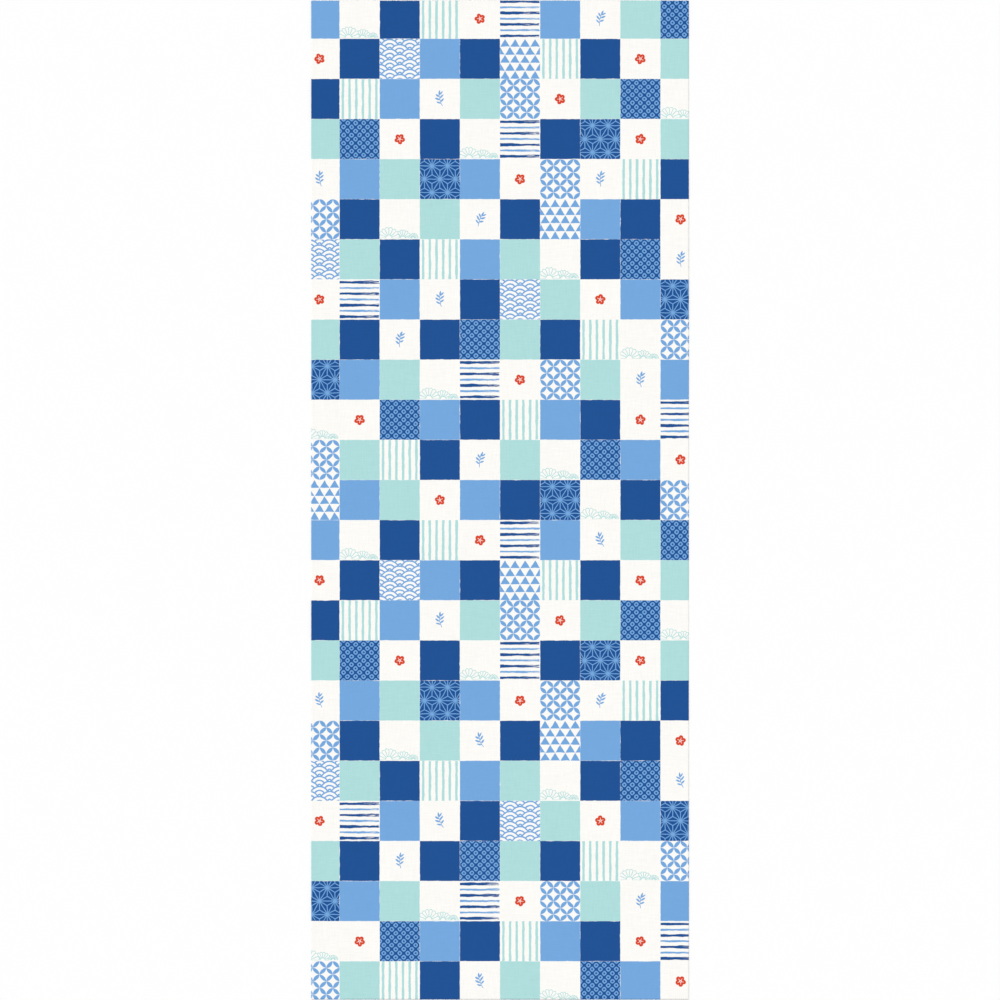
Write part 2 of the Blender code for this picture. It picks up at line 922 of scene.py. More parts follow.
@dataclass(frozen=True)
class RisingChrysanthemums(FreeFigure):
    """Half chrysanthemums in outline, rising from the foot of a bare square.

    Attributes:
        line: width of a line.
        petals: petals in a half flower.
    """

    line: float = 0.62
    petals: int = 8

    FLOWERS = (  # place across the square and radius, from front to back
        (8.2, 9.8),
        (30.2, 4.4),
        (20.8, 7.4),
    )
    FOOT = 0.9  # how high the flowers stand above the square's lower side
    HEART = 0.3  # radius of a flower's heart, and depth of the notches, as shares of its own radius
    NOTCH = 0.12

    def flower(self, spot: Spot, place: float, radius: float) -> tuple[Term, Term]:
        """Draw one half flower.

        Args:
            spot: the point of the print.
            place: the flower's middle, from the square's left side.
            radius: from its middle to a petal's tip.

        Returns:
            The distance outside the nearest line, and outside the whole flower.
        """
        across = spot.x - place
        up = spot.y - self.FOOT
        sector = pi / self.petals
        angle = spot.graph.math("ARCTAN2", up, across).from_middle(sector)
        reach = across.hypot(up)
        fall = self.NOTCH * radius / (sector / 2) ** 2
        outside = reach - radius + angle * angle * fall
        between = reach * (sector / 2 - abs(angle)).sine()
        rib = between.most(self.HEART * radius - reach)
        heart = abs(reach - self.HEART * radius)
        lines = abs(outside).least(rib.most(outside)).least(heart) - self.line / 2
        return lines.most(-up), outside.most(-up)

    def distance(self, spot: Spot) -> Term:
        """Draw the lines that no flower in front hides.

        Args:
            spot: the point of the print.

        Returns:
            How far it lies outside the nearest line, in millimetres.
        """
        lines, hiding = self.flower(spot, *self.FLOWERS[0])
        for place, radius in self.FLOWERS[1:]:
            own_lines, own_shape = self.flower(spot, place, radius)
            lines = lines.least(own_lines.most(self.line / 2 - hiding))
            hiding = hiding.least(own_shape)
        return lines


class Square(Enum):
    """The kinds of square, by their letters in the chart."""

    NAVY = "N"
    BLUE = "B"
    MINT = "M"
    PLUM = "P"
    TWIG = "S"
    CHRYSANTHEMUM = "K"
    UPRIGHT = "V"
    BRUSHED = "H"
    DOTTED = "D"
    SCALED = "T"
    WAVED = "W"
    HEMP = "A"
    RINGED = "R"


MOTIFS: dict[Square, Motif] = {
    Square.NAVY: PlainDye(NAVY),
    Square.BLUE: PlainDye(MID_BLUE),
    Square.MINT: PlainDye(MINT),
    Square.PLUM: PlumBlossom(VERMILION),
    Square.TWIG: LeafyTwig(MID_BLUE),
    Square.CHRYSANTHEMUM: RisingChrysanthemums(MINT),
    Square.UPRIGHT: UprightStripes(MINT),
    Square.BRUSHED: BrushStripes(NAVY, MID_BLUE),
    Square.DOTTED: TiedDots(MID_BLUE, NAVY),
    Square.SCALED: FishScales(MID_BLUE),
    Square.WAVED: Waves(MID_BLUE),
    Square.HEMP: HempLeaf(MID_BLUE, NAVY),
    Square.RINGED: LinkedRings(MID_BLUE),
}


@dataclass(frozen=True)
class PrintChart:
    """The layout of the squares, a row of letters for each row of squares, from the top.

    Attributes:
        rows: the chart, which repeats down the cloth.
    """

    rows: tuple[str, ...] = (
        "BKNVPHBSMD",
        "PNWBNTVNPM",
        "NVBSMRPMDK",
        "MDPNKHNAPM",
        "SBMABPRSVN",
        "RNKMSNTBNP",
        "WMNVBMKNDS",
        "PHBSNWMPBA",
        "MNSNDMNVKR",
        "ABMKHPRMSB",
        "KPDBNVBNPH",
        "RMVNSMKDBP",
        "TBMPBNAKNR",
    )

    def square_at(self, x: float, y: float, top_row: int) -> Square:
        """Find a point's kind of square.

        Args:
            x: place across the cloth from its middle, in squares.
            y: place along the cloth, in squares, where whole numbers lie between rows.
            top_row: the number of the cloth's top row.

        Returns:
            The kind of square there.
        """
        row = self.rows[(top_row - floor(y)) % len(self.rows)]
        column = min(max(floor(x) + len(row) // 2, 0), len(row) - 1)
        return Square(row[column])


@dataclass(frozen=True)
class DyedCotton:
    """The cotton's finish, one material for each kind of square.

    Attributes:
        weave: the yarns under the print.
        chart: the layout of the squares.
        hand_shake: how far a drawn edge strays, in millimetres.
        shake_length: length of a stray, in millimetres.
        mottle: share by which the dye's depth drifts over the cloth.
        roughness: of the cotton.
        shine: specular level of the dry fibres.
        fuzz: weight of the soft sheen that loose fibres give.
        spread: how much further the dye spreads on top of a yarn than beside it, in millimetres.
    """

    weave: PlainWeave
    chart: PrintChart = PrintChart()
    hand_shake: float = 0.65
    shake_length: float = 6.0
    mottle: float = 0.03
    roughness: float = 0.92
    shine: float = 0.1
    fuzz: float = 0.03
    spread: float = 0.12

    MIDDLE_HEIGHT = 0.6  # of the weave, where the dye spreads as far as drawn
    SLICE_STEPS = (7.3, 11.9)  # from one square's noise to the next, across and up
    CLOUD_SCALE = 0.05  # drifts of the dye's depth in a millimetre
    SHEEN_ROUGHNESS = 0.6
    ROUGHNESS_DRIFT = 0.08

    def spot(self, graph: Graph, x: Term, y: Term, height: Term) -> Spot:
        """Find the point of the print that a point of the cloth shows.

        Args:
            graph: the material's tree.
            x: place across the cloth, in squares.
            y: place along the cloth, in squares.
            height: of the weave, from 0 to 1.

        Returns:
            The spot within its own square.
        """
        column, row = x.floor(), y.floor()
        step_across, step_up = self.SLICE_STEPS
        own_slice = column * step_across + row * step_up
        shake = graph.noise(x * PITCH, y * PITCH, own_slice, 1 / self.shake_length, 3.0).outputs["Color"]
        shake_x, shake_y, _ = graph.parted(shake)
        chance = graph.node(
            "ShaderNodeTexWhiteNoise", {"noise_dimensions": "2D"}, {"Vector": graph.joined(column, row)}
        )
        return Spot(
            graph,
            (x - column) * PITCH + (shake_x - 0.5) * (2 * self.hand_shake),
            (y - row) * PITCH + (shake_y - 0.5) * (2 * self.hand_shake),
            Term(graph, chance.outputs["Value"]),
            (height - self.MIDDLE_HEIGHT) * self.spread,
        )

    def material(self, square: Square, woven: bool) -> Material:
        """Make the material of one kind of square.

        Args:
            square: the kind.
            woven: whether it is raised as cloth, or left smooth for single yarns.

        Returns:
            Its material, which reads the print's own map.
        """
        form = "cloth" if woven else "yarn"
        material, graph, shader = bare_finish(f"cotton_{form}_{square.name.lower()}")
        x, y, _ = graph.parted(graph.node("ShaderNodeUVMap", {"uv_map": PRINT_MAP}).outputs["UV"])
        height, tone = self.weave.yarns(graph, x * PITCH, y * PITCH)
        printed = MOTIFS[square].colour(self.spot(graph, x, y, height))
        cloud = graph.speckle(x * PITCH, y * PITCH, 3.0, scale=self.CLOUD_SCALE, detail=3.0)
        # The yarns' streaks and the dye's mottle, times painted shade in the gaps between yarns, darken or
        # lighten the print's colour
        shade = tone * (1 + self.mottle * (cloud - 0.5))
        colour = graph.blend(1.0, printed, graph.joined(shade, shade, shade), "MULTIPLY")
        finish = {
            "Base Color": colour,
            "Roughness": self.roughness + self.ROUGHNESS_DRIFT * (cloud - 0.5),
            "Specular IOR Level": self.shine,
            "Sheen Weight": self.fuzz,
            "Sheen Roughness": self.SHEEN_ROUGHNESS,
        }
        if woven:
            relief = {"Strength": 1.0, "Distance": self.weave.relief * MILLIMETRE, "Height": height}
            finish["Normal"] = graph.node("ShaderNodeBump", values=relief).outputs["Normal"]
        graph.feed(shader, finish)
        return material

    def materials(self, woven: bool) -> dict[Square, Material]:
        """Return the material of each kind of square, for the cloth or for single yarns."""
        return {square: self.material(square, woven) for square in Square}


@dataclass(frozen=True)
class PrintLayer:
    """Lays the print on a mesh: its map, and a material for each face.

    Attributes:
        chart: the layout of the squares.
        materials: the material of each kind of square.
        length: of the cloth, in metres.
    """

    chart: PrintChart
    materials: dict[Square, Material]
    length: float

    def in_squares(self, x: float, y: float) -> tuple[float, float]:
        """Return a place in squares: the cloth's middle lies between columns and halfway up a row."""
        return x / MILLIMETRE / PITCH, y / MILLIMETRE / PITCH + 0.5

    def lay(self, mesh: Mesh) -> None:
        """Give a mesh the print's map and each face its square's material.

        Args:
            mesh: the mesh of a finished piece, in its place.
        """
        mesh.materials.clear()
        for material in self.materials.values():
            mesh.materials.append(material)
        numbers = {square: number for number, square in enumerate(self.materials)}
        top_row = floor(self.in_squares(0.0, self.length / 2)[1])
        layer = mesh.uv_layers.new(name=PRINT_MAP)
        for face in mesh.polygons:
            x, y = self.in_squares(face.center.x, face.center.y)
            face.material_index = numbers[self.chart.square_at(x, y, top_row)]
            for corner in face.loop_indices:
                point = mesh.vertices[mesh.loops[corner].vertex_index].co
                layer.uv[corner].vector = self.in_squares(point.x, point.y)


@dataclass(frozen=True)
class BakeMap:
    """A map that fills the square with the parts of a piece, side by side, seen from above.

    Points above each other share a place there, because the dye shows alike on both faces.

    Attributes:
        axes: the axes at whose middle the piece is parted, 0 for X and 1 for Y.
        upright: the upward share of a face's normal up to which height too parts its corners.
    """

    axes: tuple[int, ...]
    upright: float

    GUTTER = 0.003  # share of the map that stays free on each side of a part

    def lay(self, mesh: Mesh) -> None:
        """Give a mesh the map.

        Args:
            mesh: the mesh of a finished piece, in its place.
        """
        columns = []
        spots = []
        for face in mesh.polygons:
            height_counts = abs(face.normal.z) <= self.upright
            column = sum(2**number for number, axis in enumerate(self.axes) if face.center[axis] > 0)
            for corner in face.loop_indices:
                point = mesh.vertices[mesh.loops[corner].vertex_index].co
                places = [abs(point[axis]) if axis in self.axes else point[axis] for axis in (0, 1)]
                spots.append([place + point.z * height_counts for place in places])
                columns.append(column)
        lows = [min(places) for places in zip(*spots)]
        sizes = [max(places) - min(places) for places in zip(*spots)]
        room = 1 - 2 * self.GUTTER
        layer = mesh.uv_layers.new(name=BAKE_MAP)
        for corner, spot in enumerate(spots):
            shares = [(place - low) / size for place, low, size in zip(spot, lows, sizes)]
            across, along = (self.GUTTER + room * share for share in shares)
            layer.uv[corner].vector = ((columns[corner] + across) / 2 ** len(self.axes), along)


@dataclass(frozen=True)
class TowelCloth:
    """The woven web with its two selvedges, in metres.

    Attributes:
        width: from selvedge to selvedge.
        length: of the whole towel, with the loose warp ends.
        loose_ends: how far the warp stands out of the web at each cut end.
        thickness: of the web.
        selvedge_rise: how much thicker it is in the selvedges.
        turns: how far the weft's turns stand out of the web at each selvedge.
        swell: height of the gentle unevenness in which the cloth lies.
    """

    width: float
    length: float
    loose_ends: float = 0.0009
    thickness: float = 0.00045
    selvedge_rise: float = 0.00009
    turns: float = 0.00014
    swell: float = 0.00045

    CELLS = 8  # cells of the mesh along the side of a square
    RIM_STEPS = 4  # steps round the rim of a selvedge
    CUT_RINGS = (0.0007, 0.0002)  # how far from a cut the last rings before it lie
    CUT_SHARE = 0.35  # share of the thickness that is left at a cut
    FLOOR_GAP = 0.00007  # from the floor to the cloth where it lies lowest
    SLOPE_SHARE = 0.4  # share of a selvedge over which it thickens
    MIDDLE_LIFT = 0.5  # share of the swell at which the cloth lies where it neither rises nor falls
    SWELLS = (  # length across, length along, slice of noise and weight
        (0.11, 0.15, 0.7, 0.55),
        (0.045, 0.06, 5.2, 0.25),
    )

    @property
    def rim(self) -> float:
        """Return the radius of the web's round rim at the selvedges."""
        return (self.thickness + self.selvedge_rise) / 2

    @property
    def selvedge_lines(self) -> tuple[float, float]:
        """Return how far from the middle a selvedge starts to thicken, and where it is thick."""
        start = self.width / 2 - SELVEDGE * MILLIMETRE
        return start, start + SELVEDGE * MILLIMETRE * self.SLOPE_SHARE

    @property
    def web_end(self) -> float:
        """Return how far the web reaches along Y from the middle."""
        return self.length / 2 - self.loose_ends

    def lift(self, x: float, y: float) -> float:
        """Find how high the underside lies.

        Args:
            x: place across the cloth.
            y: place along the cloth.

        Returns:
            Its height above the floor.
        """
        share = self.MIDDLE_LIFT
        for across, along, own_slice, weight in self.SWELLS:
            share += weight * noise.noise(Vector((x / across, y / along, own_slice)))
        return self.FLOOR_GAP + self.swell * min(max(share, 0.0), 1.0)

    def depth(self, x: float) -> float:
        """Find the cloth's thickness, which grows in the selvedges.

        Args:
            x: place across the cloth.

        Returns:
            The thickness there.
        """
        start, end = self.selvedge_lines
        share = min(max((abs(x) - start) / (end - start), 0.0), 1.0)
        return self.thickness + self.selvedge_rise * share

    def core(self, x: float, y: float) -> Point:
        """Return the point halfway through the cloth at a place of it."""
        return x, y, self.lift(x, y) + self.depth(x) / 2

    def lines_across(self) -> list[float]:
        """Place the mesh's lines across the cloth.

        Returns:
            The places from -X to +X.
        """
        cell = PITCH * MILLIMETRE / self.CELLS
        edge = self.width / 2 - self.turns - self.rim
        inner = int((self.selvedge_lines[0] - cell / 2) / cell)
        right = [cell * number for number in range(1, inner + 1)] + [*self.selvedge_lines, edge]
        return [-x for x in reversed(right)] + [0.0] + right

    def lines_along(self) -> list[float]:
        """Place the mesh's rings along the cloth.

        Returns:
            The places from -Y to +Y.
        """
        cell = PITCH * MILLIMETRE / self.CELLS
        inner = int((self.web_end - cell / 4) / cell)
        upper = [cell * number for number in range(1, inner + 1)]
        upper += [self.web_end - inset for inset in self.CUT_RINGS] + [self.web_end]
        return [-y for y in reversed(upper)] + [0.0] + upper

    def section(self) -> list[tuple[float, float]]:
        """Draw the section.

        Returns:
            A ring of points: x, and the share of the thickness above the underside.
        """
        lines = self.lines_across()
        right_rim = []
        for step in range(1, self.RIM_STEPS):
            turn = pi / 2 - pi * step / self.RIM_STEPS
            right_rim.append((lines[-1] + self.rim * cos(turn), 0.5 + 0.5 * sin(turn)))
        left_rim = [(-x, share) for x, share in reversed(right_rim)]
        top = [(x, 1.0) for x in lines]
        under = [(x, 0.0) for x in reversed(lines)]
        return top + right_rim + under + left_rim

    def rings(self) -> Iterator[list[Point]]:
        """Draw the section at each line along the cloth.

        Returns:
            The rings of points, one by one.
        """
        section = self.section()
        for y in self.lines_along():
            left = self.CUT_SHARE if abs(y) == self.web_end else 1.0
            yield [
                (x, y, self.lift(x, y) + self.depth(x) * (0.5 + (share - 0.5) * left)) for x, share in section
            ]

    def web(self) -> Mesh:
        """Draw the web.

        Returns:
            Its closed mesh, with all faces pointing out.
        """
        model = bmesh.new()
        rings = [[model.verts.new(point) for point in ring] for ring in self.rings()]
        count = len(rings[0])
        for near, far in zip(rings, rings[1:]):
            for place in range(count):
                after = (place + 1) % count
                model.faces.new((near[place], near[after], far[after], far[place]))
        lines = len(self.lines_across())
        under_start = lines + self.RIM_STEPS - 1
        for ring in (rings[0], rings[-1]):
            for place in range(lines - 1):
                opposite = under_start + lines - 1 - place
                model.faces.new((ring[place], ring[place + 1], ring[opposite - 1], ring[opposite]))
            model.faces.new(ring[lines - 1 : under_start + 1])
            model.faces.new([ring[0], *reversed(ring[under_start + lines - 1 :])])
        bmesh.ops.recalc_face_normals(model, faces=model.faces)
        mesh = bpy.data.meshes.new(CLOTH_NODE)
        model.to_mesh(mesh)
        model.free()
        return mesh

    def build(self, layer: PrintLayer) -> Object:
        """Make the cloth.

        Args:
            layer: the print that is laid on it.

        Returns:
            The finished piece.
        """
        mesh = self.web()
        layer.lay(mesh)
        BakeMap(axes=(1,), upright=0.1).lay(mesh)
        mesh.shade_smooth()
        mesh.set_sharp_from_angle(angle=radians(50))
        return placed("tenugui_cloth", mesh)


@dataclass(frozen=True)
class YarnWork(ABC):
    """Yarns that Geometry Nodes set in a row along guide lines of the cloth.

    Every other field is a size that the tree takes as an input of the same name.

    Attributes:
        cloth: the cloth that the yarns belong to.
    """

    cloth: TowelCloth

    NAME = ""
    PARTED = (1,)  # the axes at whose middle the bake map parts the yarns

    @abstractmethod
    def guides(self) -> list[list[Point]]:
        """Return the guide lines, each a list of points."""

    @abstractmethod
    def yarns(self, graph: Graph, inputs: dict[str, Term]) -> NodeSocket:
        """Fill the tree.

        Args:
            graph: the tree.
            inputs: the guides, as Geometry, and the sizes.

        Returns:
            The output with the yarns, which may be instances.
        """

    def sizes(self) -> dict[str, float | int]:
        """Return the tree's inputs with their values."""
        return {field.name: getattr(self, field.name) for field in fields(self) if field.name != "cloth"}

    def guide_mesh(self) -> Mesh:
        """Draw the guide lines.

        Returns:
            One mesh of edges.
        """
        points = []
        edges = []
        for line in self.guides():
            start = len(points)
            points += line
            edges += [(number, number + 1) for number in range(start, len(points) - 1)]
        mesh = bpy.data.meshes.new(self.NAME)
        mesh.from_pydata(points, edges, [])
        return mesh

    def tree(self, material: Material) -> NodeTree:
        """Build the Geometry Nodes.

        Args:
            material: the finish that the tree sets.

        Returns:
            The tree, with named inputs for its sizes.
        """
        tree = bpy.data.node_groups.new(self.NAME, "GeometryNodeTree")
        tree.interface.new_socket("Geometry", in_out="INPUT", socket_type="NodeSocketGeometry")
        for name, value in self.sizes().items():
            kind = "NodeSocketInt" if isinstance(value, int) else "NodeSocketFloat"
            tree.interface.new_socket(name, in_out="INPUT", socket_type=kind)
        tree.interface.new_socket("Geometry", in_out="OUTPUT", socket_type="NodeSocketGeometry")
        graph = Graph(tree)
        outputs = graph.node("NodeGroupInput").outputs
        made = self.yarns(graph, {output.name: Term(graph, output) for output in outputs})
        whole = graph.node("GeometryNodeRealizeInstances", values={0: made})
        finished = graph.node(
            "GeometryNodeSetMaterial", values={"Geometry": whole.outputs[0], "Material": material}
        )
        graph.node("NodeGroupOutput", values={0: finished.outputs[0]})
        return tree

    def along(self, graph: Graph) -> Term:
        """Return how far along its curve a point lies, from 0 to 1."""
        return Term(graph, graph.node("GeometryNodeSplineParameter").outputs["Factor"])

    def place(self, graph: Graph) -> tuple[Term, Term, Term]:
        """Return a point's place on the cloth."""
        return graph.parted(graph.node("GeometryNodeInputPosition").outputs[0])

    def tube(
        self, graph: Graph, curve: NodeSocket, radius: Term, share: Value, sides: int
    ) -> NodeSocket:
        """Lay a yarn along a curve.

        Args:
            graph: the tree.
            curve: the line of its middle.
            radius: of the yarn.
            share: of its radius at each point.
            sides: of its section.

        Returns:
            The output with its closed shape.
        """
        ring = graph.node("GeometryNodeCurvePrimitiveCircle", values={"Resolution": sides, "Radius": radius})
        solid = graph.node(
            "GeometryNodeCurveToMesh",
            values={"Curve": curve, "Profile Curve": ring.outputs[0], "Scale": share, "Fill Caps": True},
        )
        return solid.outputs[0]

    def resampled(self, graph: Graph, guides: Term, spacing: Term) -> NodeSocket:
        """Set points along the guides.

        Args:
            graph: the tree.
            guides: the guide lines.
            spacing: from one point to the next.

        Returns:
            The output with the curves.
        """
        line = graph.node("GeometryNodeMeshToCurve", values={"Mesh": guides})
        points = graph.node(
            "GeometryNodeResampleCurve", {"mode": "LENGTH"}, {"Curve": line.outputs[0], "Length": spacing}
        )
        return points.outputs[0]

    def chances(self, graph: Graph, seed: Term) -> tuple[Term, Term, Term]:
        """Draw three numbers by chance for each yarn.

        Args:
            graph: the tree.
            seed: of the chances.

        Returns:
            The numbers, from -1 to 1.
        """
        drawn = graph.node(
            "FunctionNodeRandomValue",
            {"data_type": "FLOAT_VECTOR"},
            {0: (-1.0, -1.0, -1.0), 1: (1.0, 1.0, 1.0), "Seed": seed},
        )
        return graph.parted(drawn.outputs[0])

    def build(self, layer: PrintLayer) -> Object:
        """Make the piece.

        Args:
            layer: the print, which runs on over the yarns.

        Returns:
            The finished piece.
        """
        piece = placed(self.NAME, self.guide_mesh())
        modifier = piece.modifiers.new("yarns", "NODES")
        modifier.node_group = self.tree(next(iter(layer.materials.values())))
        sizes = self.sizes()
        for item in modifier.node_group.interface.items_tree:
            if item.in_out == "INPUT" and item.name in sizes:
                modifier[item.identifier] = sizes[item.name]
        evaluated = piece.evaluated_get(bpy.context.evaluated_depsgraph_get())
        mesh = bpy.data.meshes.new_from_object(evaluated)
        piece.modifiers.clear()
        piece.data = mesh
        layer.lay(mesh)
        BakeMap(axes=self.PARTED, upright=1.0).lay(mesh)
        mesh.shade_smooth()
        return piece


@dataclass(frozen=True)
class CutEnds(YarnWork):
    """The loose ends of the warp at the two cuts, and the last weft yarn, which slips out over them.

    Attributes:
        spacing: from one yarn to the next.
        radius: of a yarn.
        root: how far inside the web a yarn starts.
        bend: how far its middle strays.
        sway: most that it swings to a side, in radians.
        tilt: most that it tips up or down, in radians.
        stub: how far from its root a yarn stays whole.
        strand_radius: of a strand into which it splays.
        splay: how far a strand's tip stands from the yarn's line.
        clump: width of the groups that lean together.
        slipped: how far the last weft lies outside the web.
        drift: how far it wanders from there.
        seed: of the chances.
    """

    spacing: float = 0.00042
    radius: float = 0.00014
    root: float = 0.0004
    bend: float = 0.00006
    sway: float = 0.30
    tilt: float = 0.06
    stub: float = 0.00075
    strand_radius: float = 0.00006
    splay: float = 0.0003
    clump: float = 0.0025
    slipped: float = 0.0001
    drift: float = 0.0004
    seed: int = 11

    NAME = "tenugui_cut_ends"
    STRANDS = 3
    SIDES = 4  # sides of a yarn, and one more than a strand has
    STEPS = 3  # steps along a strand
    SHORTEST = 0.6  # the shortest end as a share of the longest
    TAPER = 0.3  # share of its radius that a yarn or strand loses towards its tip
    BEND_AT = 0.65  # share of a strand's length at which it bends
    STEP_BACK = 0.12  # share by which each strand is shorter than the one before
    LEAN_GAIN = 3  # brings the groups' noise, which stays near its middle, to the whole sway
    OWN_LEAN = 0.35  # share of the sway that a yarn has apart from its group
    WEFT_STEPS = 3  # steps of the last weft from one warp yarn to the next
    DRIFT_SCALE = 70.0  # wanderings of the last weft in a metre
    PRESSED = 0.35  # share of a radius by which the last weft is pushed out and in at the warp yarns
    SLIMNESS = 0.85  # radius of the last weft as a share of a warp yarn's

    def guides(self) -> list[list[Point]]:
        """Return the line of the yarns' roots at each cut, at half the web's thickness."""
        root_line = self.cloth.web_end - self.root
        return [[self.cloth.core(x, y) for x in self.cloth.lines_across()] for y in (-root_line, root_line)]

    def sizes(self) -> dict[str, float | int]:
        """Return the tree's inputs with their values, the whole length of an end among them."""
        return super().sizes() | {"length": self.cloth.loose_ends + self.root}

    def last_weft(self, graph: Graph, inputs: dict[str, Term]) -> NodeSocket:
        """Lay the weft yarn that goes over and under the loose ends at each cut.

        Args:
            graph: the tree.
            inputs: the guides, as Geometry, and the sizes.

        Returns:
            The output with the yarn.
        """
        spacing, radius = inputs["spacing"], inputs["radius"]
        line = self.resampled(graph, inputs["Geometry"], spacing / self.WEFT_STEPS)
        x, y, _ = self.place(graph)
        side = 1 - 2 * y.under(0.0)
        wander = (graph.speckle(x, y, scale=self.DRIFT_SCALE, detail=3.0) - 0.5) * inputs["drift"] * 2
        outward = inputs["root"] + inputs["slipped"] + wander
        phase = x / spacing * pi
        offset = graph.joined(
            0.0, (outward + phase.cosine() * radius * self.PRESSED) * side, phase.sine() * radius
        )
        moved = graph.node("GeometryNodeSetPosition", values={"Geometry": line, "Offset": offset})
        return self.tube(graph, moved.outputs[0], radius * self.SLIMNESS, 1.0, self.SIDES)

    def loose_end(self, graph: Graph, inputs: dict[str, Term]) -> NodeSocket:
        """Draw one yarn along +Y: a whole stub that splays into strands.

        Args:
            graph: the tree.
            inputs: the guides, as Geometry, and the sizes.

        Returns:
            The output with the yarn.
        """
        length, bend, splay = inputs["length"], inputs["bend"], inputs["splay"]
        stub_end = graph.joined(0.0, inputs["stub"], 0.0)
        stub = graph.node("GeometryNodeCurvePrimitiveLine", values={"End": stub_end})
        left = 1 - self.TAPER * self.along(graph)
        parts = [self.tube(graph, stub.outputs[0], inputs["radius"], left, self.SIDES)]
        for number in range(self.STRANDS):
            turn = tau * number / self.STRANDS
            side, rise = cos(turn), sin(turn)
            reach = length * (1 - self.STEP_BACK * number)
            strand = graph.node(
                "GeometryNodeCurveQuadraticBezier",
                values={
                    "Resolution": self.STEPS,
                    "Start": graph.joined(0.0, inputs["root"], 0.0),
                    "Middle": graph.joined(bend * side, length * self.BEND_AT, bend * rise),
                    "End": graph.joined(splay * side, reach, splay * rise),
                },
            )
            parts.append(self.tube(graph, strand.outputs[0], inputs["strand_radius"], left, self.SIDES - 1))
        return graph.together(*parts)

    def yarns(self, graph: Graph, inputs: dict[str, Term]) -> NodeSocket:
        """Stand a yarn at each step of the cuts, and lay the last weft across them.

        Args:
            graph: the tree.
            inputs: the guides, as Geometry, and the sizes.

        Returns:
            The output with all of them.
        """
        stands = self.resampled(graph, inputs["Geometry"], inputs["spacing"])
        x, y, _ = self.place(graph)
        facing = y.under(0.0) * pi
        clump = inputs["clump"]
        leaning = (graph.speckle(x / clump, y / clump) - 0.5) * self.LEAN_GAIN
        tip_chance, spin_chance, sway_chance = self.chances(graph, inputs["seed"])
        swing = (leaning + sway_chance * self.OWN_LEAN) * inputs["sway"] + facing
        share = graph.node(
            "FunctionNodeRandomValue",
            {"data_type": "FLOAT"},
            {2: self.SHORTEST, 3: 1.0, "Seed": inputs["seed"]},
        )
        standing = graph.node(
            "GeometryNodeInstanceOnPoints",
            values={
                "Points": stands,
                "Instance": self.loose_end(graph, inputs),
                "Rotation": graph.joined(tip_chance * inputs["tilt"], spin_chance * pi, swing),
                "Scale": graph.joined(1.0, Term(graph, share.outputs[1]), 1.0),
            },
        )
        return graph.together(standing.outputs[0], self.last_weft(graph, inputs))


@dataclass(frozen=True)
class SelvedgeTurns(YarnWork):
    """The weft's turns back into the cloth, one for every two wefts at each selvedge.

    Attributes:
        spacing: from one turn to the next, which is two wefts.
        bow: radius of a turn, to the middle of its yarn.
        radius: of the yarn where it stands furthest out.
        slant: how steeply a turn passes from the cloth's face to its back, in radians.
        unevenness: share by which one turn is larger or smaller than the next.
        seed: of the chances.
    """

    spacing: float = 0.00094
    bow: float = 0.00027
    radius: float = 0.00021
    slant: float = radians(24)
    unevenness: float = 0.08
    seed: int = 5

    NAME = "tenugui_selvedge_turns"
    PARTED = (0, 1)
    SIDES = 8  # sides of the yarn
    STEPS = 6  # points along a turn
    SWEEP = radians(150)
    SUNK = 0.1  # share of half a wave that is cut off each end of a turn, where it sinks into the cloth
    SLANT_CHANGE = 3  # how many times more the slant changes than the size

    def guides(self) -> list[list[Point]]:
        """Return the line of the turns' middles along each selvedge."""
        turn_line = self.cloth.width / 2 - (self.bow + self.radius) * (1 + self.unevenness)
        return [[self.cloth.core(x, y) for y in self.cloth.lines_along()] for x in (-turn_line, turn_line)]

    def yarns(self, graph: Graph, inputs: dict[str, Term]) -> NodeSocket:
        """Set a turn at each step of the two selvedges.

        Args:
            graph: the tree.
            inputs: the guides, as Geometry, and the sizes.

        Returns:
            The output with all of them.
        """
        arc = graph.node(
            "GeometryNodeCurveArc",
            {"mode": "RADIUS"},
            {
                "Resolution": self.STEPS,
                "Radius": inputs["bow"],
                "Start Angle": -self.SWEEP / 2,
                "Sweep Angle": self.SWEEP,
            },
        )
        fullness = ((self.SUNK + (1 - 2 * self.SUNK) * self.along(graph)) * pi).sine()
        turn = self.tube(graph, arc.outputs[0], inputs["radius"], fullness, self.SIDES)
        x, _, _ = self.place(graph)
        facing = x.under(0.0) * pi
        slant_chance, turn_chance, size_chance = self.chances(graph, inputs["seed"])
        unevenness = inputs["unevenness"]
        slant = inputs["slant"] * (1 + slant_chance * unevenness * self.SLANT_CHANGE)
        size = 1 + size_chance * unevenness
        standing = graph.node(
            "GeometryNodeInstanceOnPoints",
            values={
                "Points": self.resampled(graph, inputs["Geometry"], inputs["spacing"]),
                "Instance": turn,
                "Rotation": graph.joined(slant, 0.0, facing + turn_chance * unevenness),
                "Scale": graph.joined(size, size, size),
            },
        )
        return standing.outputs[0]


